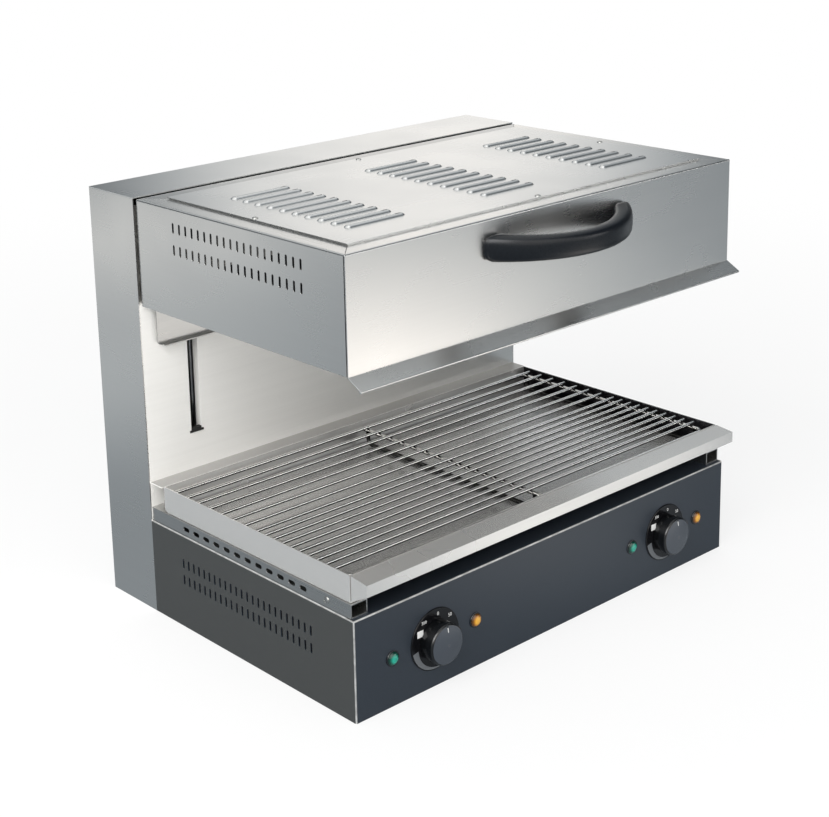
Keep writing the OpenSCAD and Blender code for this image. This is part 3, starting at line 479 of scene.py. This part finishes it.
# Nodes whose look isn't their slot's: sheets that lie flat and are brushed along X, duller rails and rear
# plate, the smooth handle, the knobs, and the dark feet of the grate
OTHER_LOOKS = {
    "hood_top_cover": "stainless_flat", "column_top": "stainless_flat", "tray_rail_left": "rail_steel",
    "tray_rail_right": "rail_steel", "hood_rear_plate": "rail_steel", "handle": "satin_plastic",
    "knob_left": "knob_plastic", "knob_right": "knob_plastic", "grate_runners": "dark_wire",
}
made = {}


def look(name):
    """The material of that name, made on its first use."""
    if name not in made:
        made[name] = new_material(name, LOOKS[name])
    return made[name]


def paint_nodes():
    """Gives each CAD node its own look, or else the look of its slot in the record."""
    slots = {entry["node"]: entry["material_slot"] for entry in frame["record"]["subparts"]}
    for name, obj in nodes.items():
        obj.data.materials.clear()
        obj.data.materials.append(look(OTHER_LOOKS.get(name, slots[name])))


# Nodes that are round all over, where facets would show: single ones, and pairs of a left and a right one
ROUND_SINGLES = ("handle", "lamp_bezels", "wire_grate", "grate_frame", "grate_runners", "cable_gland",
                 "guide_bushes")
ROUND_PAIRS = ("knob", "dial", "power_lamp", "heat_lamp", "heating_element", "guide_rod", "shaft",
               "lift_spring")
CRISP_ANGLE = math.radians(32)
WELD = 0.01 * MM


def smooth_round_nodes():
    """Shades gentle bends as smooth and keeps corners crisp, by a modifier that moves nothing.

    It joins the corners that neighbouring facets share, because only joined facets shade as one surface.
    """
    tree = bpy.data.node_groups.new("smooth_shading", "GeometryNodeTree")
    for direction in ("INPUT", "OUTPUT"):
        tree.interface.new_socket("Geometry", in_out=direction, socket_type="NodeSocketGeometry")
    add = node_adder(tree)
    mesh = add("NodeGroupInput").outputs[0]
    welded = add("GeometryNodeMergeByDistance", Geometry=mesh, Distance=WELD).outputs[0]
    gentle = add("FunctionNodeCompare", data_type="FLOAT", operation="LESS_THAN")
    put(add("GeometryNodeInputMeshEdgeAngle").outputs["Unsigned Angle"], gentle.inputs[0])
    put(CRISP_ANGLE, gentle.inputs[1])
    edges = add("GeometryNodeSetShadeSmooth", domain="EDGE", Geometry=welded, Shade_Smooth=gentle.outputs[0])
    faces = add("GeometryNodeSetShadeSmooth", domain="FACE", Geometry=edges.outputs[0])
    put(faces.outputs[0], add("NodeGroupOutput").inputs[0])
    for name in (*ROUND_SINGLES, *(f"{pair}_{side}" for pair in ROUND_PAIRS for side in SIDES)):
        nodes[name].modifiers.new("smooth_shading", "NODES").node_group = tree


# ---- Printed marks ----

DIAL_FACE_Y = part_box("dial_left")[0][1]
KNOB_FACE_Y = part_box("knob_left")[0][1]
PRINT_LIFT = 0.12 * MM
KNOB_DOME_R = 105 * MM

# Printed on each dial, in millimetres from its centre and degrees clockwise from its top: a block, a wedge
# along the rim, and each number's text, size, radius and angle
DIAL_BLOCK = [(-26, 9.5), (-17.5, 9.5), (-17.5, 17), (-26, 17)]
DIAL_WEDGE = {"start": 170, "end": 258, "outer": 33.2, "thin": 1.2, "thick": 8.0, "steps": 36}
DIAL_NUMBERS = {"off": ("0", 5.5, 28, 8), "low": ("50", 5.5, 29.5, 46), "high": ("300", 5, 29, -34)}

# The line on a knob: half its width, its ends above the knob's centre, and its steps along the dome
LINE_HALF_W, LINE_LOW, LINE_HIGH, LINE_STEPS = 0.45 * MM, 14.5 * MM, 19.5 * MM, 6


def polar(radius, degrees):
    """A point on the dial, with degrees clockwise from the top."""
    angle = math.radians(degrees)
    return radius * math.sin(angle), radius * math.cos(angle)


def wedge(start, end, outer, thin, thick, steps):
    """The outline of a band along the dial's rim that grows from thin to thick."""
    turns = [start + (end - start) * i / steps for i in range(steps + 1)]
    rim = [polar(outer, turn) for turn in turns]
    inner = [polar(outer - thin - (thick - thin) * i / steps, turn) for i, turn in enumerate(turns)]
    return rim + inner[::-1]


def dial_shape(name, points, look_name, centre):
    """A thin shape printed on a dial, from its outline's (x, z) points in millimetres round the centre."""
    count = len(points)
    outline = [(centre[0] + x * MM, centre[1] + z * MM) for x, z in points]
    verts = [(x, y, z) for y in (DIAL_FACE_Y, DIAL_FACE_Y - PRINT_LIFT) for x, z in outline]
    faces = [tuple(range(count)), tuple(range(2 * count - 1, count - 1, -1))]
    faces += [(i, i + count, (i + 1) % count + count, (i + 1) % count) for i in range(count)]
    obj = add_mesh(name, verts, faces, look(look_name))
    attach(obj, "cabinet")


def dial_number(name, text, size, radius, degrees, centre):
    """A number printed on a dial, upright."""
    curve = bpy.data.curves.new(name, "FONT")
    curve.body = text
    curve.size = size * MM
    curve.align_x, curve.align_y = "CENTER", "CENTER"
    curve.extrude = PRINT_LIFT / 2
    curve.materials.append(look("print_white"))
    obj = add_object(name, curve)
    x, z = polar(radius, degrees)
    obj.location = (centre[0] + x * MM, DIAL_FACE_Y - PRINT_LIFT / 2, centre[1] + z * MM)
    obj.rotation_euler = (math.pi / 2, 0, 0)
    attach(obj, "cabinet")


def make_dial_print(side):
    """The shapes and numbers on one dial, round the middle of its knob."""
    centre = middle(f"knob_{side}")
    dial_shape(f"dial_{side}_block", DIAL_BLOCK, "print_white", centre)
    dial_shape(f"dial_{side}_wedge", wedge(**DIAL_WEDGE), "print_grey", centre)
    for key, (text, size, radius, degrees) in DIAL_NUMBERS.items():
        dial_number(f"dial_{side}_{key}", text, size, radius, degrees, centre)


def make_knob_line(side):
    """A white line on the dome of the knob's cap, which ends over the groove at its rim.

    Each step has four corners: left and right on the dome, then left and right above it.
    """
    corners = 4
    centre_x, centre_z = middle(f"knob_{side}")
    verts = []
    for i in range(LINE_STEPS + 1):
        z = LINE_LOW + (LINE_HIGH - LINE_LOW) * i / LINE_STEPS
        y = KNOB_FACE_Y + KNOB_DOME_R - math.sqrt(KNOB_DOME_R ** 2 - z ** 2)
        verts += [(centre_x + x, y - lift, centre_z + z)
                  for lift in (0, PRINT_LIFT) for x in (-LINE_HALF_W, LINE_HALF_W)]
    faces = [(0, 1, 3, 2), tuple(corners * LINE_STEPS + corner for corner in (2, 3, 1, 0))]
    for i in range(LINE_STEPS):
        a, b = corners * i, corners * (i + 1)
        faces += [(a + p, a + q, b + q, b + p) for p, q in ((2, 3), (1, 0), (0, 2), (3, 1))]
    obj = add_mesh(f"knob_{side}_mark", verts, faces, look("print_white"))
    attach(obj, f"{side}_control")


# ---- Stage ----

FLOOR_HALF = 9.0
# Keeps the floor and the base's underside out of one plane
FLOOR_GAP = 0.3 * MM
FLOOR_CLOUDS, FLOOR_TONES = even(3), (even(0.83), even(0.85))
# How much of the floor's white the camera sees as plain colour, near the object and far from it;
# the rest takes light and shadow
FLOOR_WHITE = (0.74, 1.0)
FLOOR_WHITE_REACH = (0.6, 2.2)
# What gloss sees of the floor: its level, and soft patches, pale or dark, given by place, radius and level
FLOOR_LEVEL = 0.32
FLOOR_PATCHES = [
    ((0.6, -1.25), 0.6, 0.9),
    ((1.1, -1.3), 0.5, 0.5),
    ((0.35, -0.85), 0.4, 1.9),
    ((0.48, -0.6), 0.24, 1.1),
    ((0.95, -0.45), 0.45, -0.22),
    ((0.9, 1.6), 1.4, 0.35),
    ((2.0, 0.3), 1.2, 0.3),
    ((0.15, -0.5), 0.35, 0.7),
    ((-0.8, 0.9), 0.6, 0.25),
    ((-1.4, 1.7), 0.8, 0.85),
    ((1.0, -2.4), 1.2, 0.42),
    ((0.05, -1.2), 0.5, 0.6),
]
# The room's light: its level, and soft patches given by azimuth from +X towards +Y, elevation and radius in
# degrees, and level
ROOM_LEVEL = 0.07
ROOM_PATCHES = [
    (47, 12, 12, 1.25),
    (90, 75, 60, 0.85),
    (-110, 25, 45, 1.3),
    (-62, 6, 24, 1.0),
    (180, 25, 40, 1.0),
    (35, 40, 22, 0.35),
]
# The colour of that light at shares of a bright level: cool where dim, a little warm where bright
BRIGHT_LEVEL = 2.0
TINT_SHARES = (0.12, 0.4, 0.7)
TINTS = ((0.84, 0.95, 1.04), (0.98, 1.0, 1.0), (1.03, 0.985, 0.94))
# Softboxes: name, place, aim, size and watts
SOFTBOXES = [
    ("key_left", (-3.0, -1.5, 2.6), (0, 0, 0.2), (3.2, 2.6), 140),
    ("top", (0.3, -0.6, 3.3), (0, 0, 0.3), (2.2, 1.6), 6),
    ("front", (0.3, -3.4, 2.2), (0, 0, 0.2), (3.0, 2.0), 10),
    ("strip", (1.9, -2.3, 0.8), (0, 0, 0.2), (1.1, 0.45), 3.5),
]


def studio_light(add, kind, levels):
    """A shader that shines at the sum of the levels, in the tint of that sum."""
    level = total(add, levels)
    tint = ramp(add, maths(add, "MULTIPLY", level, 1 / BRIGHT_LEVEL), TINT_SHARES, TINTS)
    return add(kind, Strength=level, Color=tint)


def plainly_seen(add):
    """1 for what the camera sees, also through clear things, else 0."""
    rays = add("ShaderNodeLightPath").outputs
    return maths(add, "ADD", rays["Is Camera Ray"], rays["Is Transmission Ray"], use_clamp=True)


def floor_shader(add):
    """Pale floor that reads white to the camera, keeps the object's shadow, and shows soft cards in gloss.

    From below it is clear, so that the object's underside can be seen.
    """
    spot = position(add)
    diffuse = add("ShaderNodeBsdfDiffuse", Color=ramp(add, noise(add, FLOOR_CLOUDS), NOISE_SPAN, FLOOR_TONES))
    white = add("ShaderNodeEmission", Strength=1.0)
    white_share = soft_step(add, vector_maths(add, "LENGTH", spot), FLOOR_WHITE_REACH, FLOOR_WHITE)
    seen = two_shaders(add, maths(add, "MULTIPLY", plainly_seen(add), white_share), diffuse, white)
    levels = [FLOOR_LEVEL]
    for (x, y), radius, level in FLOOR_PATCHES:
        away = vector_maths(add, "DISTANCE", spot, (x, y, 0))
        levels.append(soft_step(add, away, (0, radius), (level, 0)))
    cards = studio_light(add, "ShaderNodeEmission", levels)
    from_above = two_shaders(add, add("ShaderNodeLightPath").outputs["Is Glossy Ray"], seen, cards)
    clear = add("ShaderNodeBsdfTransparent")
    return two_shaders(add, add("ShaderNodeNewGeometry").outputs["Backfacing"], from_above, clear)


def make_floor():
    """One square of floor just under the object."""
    half, z = FLOOR_HALF, -FLOOR_GAP
    corners = [(-half, -half, z), (half, -half, z), (half, half, z), (-half, half, z)]
    floor = add_mesh("floor", corners, [(0, 1, 2, 3)], new_material("floor", floor_shader))


def make_world():
    """Soft studio: white to the camera, with broad patches of light for everything else."""
    world = bpy.data.worlds.new("studio")
    bpy.context.scene.world = world
    world.use_nodes = True
    world.node_tree.nodes.clear()
    add = node_adder(world.node_tree)
    direction = add("ShaderNodeTexCoord").outputs["Generated"]
    levels = [ROOM_LEVEL]
    for *degrees, level in ROOM_PATCHES:
        azimuth, elevation, radius = (math.radians(angle) for angle in degrees)
        towards = (math.cos(azimuth) * math.cos(elevation), math.sin(azimuth) * math.cos(elevation),
                   math.sin(elevation))
        nearness = vector_maths(add, "DOT_PRODUCT", direction, towards)
        levels.append(soft_step(add, nearness, (math.cos(radius), 1), (0, level)))
    light = studio_light(add, "ShaderNodeBackground", levels)
    white = add("ShaderNodeBackground", Color=(1, 1, 1, 1), Strength=1.0)
    add("ShaderNodeOutputWorld", Surface=two_shaders(add, plainly_seen(add), light, white).outputs[0])


def make_lights():
    """The softboxes, as area lamps."""
    for name, place, aim, (width, height), watts in SOFTBOXES:
        data = bpy.data.lights.new(name, "AREA")
        data.shape = "RECTANGLE"
        data.size, data.size_y = width, height
        data.energy = watts
        lamp = add_object(name, data)
        lamp.location = place
        lamp.rotation_euler = (Vector(aim) - Vector(place)).to_track_quat("-Z", "Y").to_euler()


make_camera()
paint_nodes()
smooth_round_nodes()
for side in SIDES:
    make_dial_print(side)
    make_knob_line(side)
make_floor()
make_world()
make_lights()
bpy.context.scene.view_settings.view_transform = "Standard"
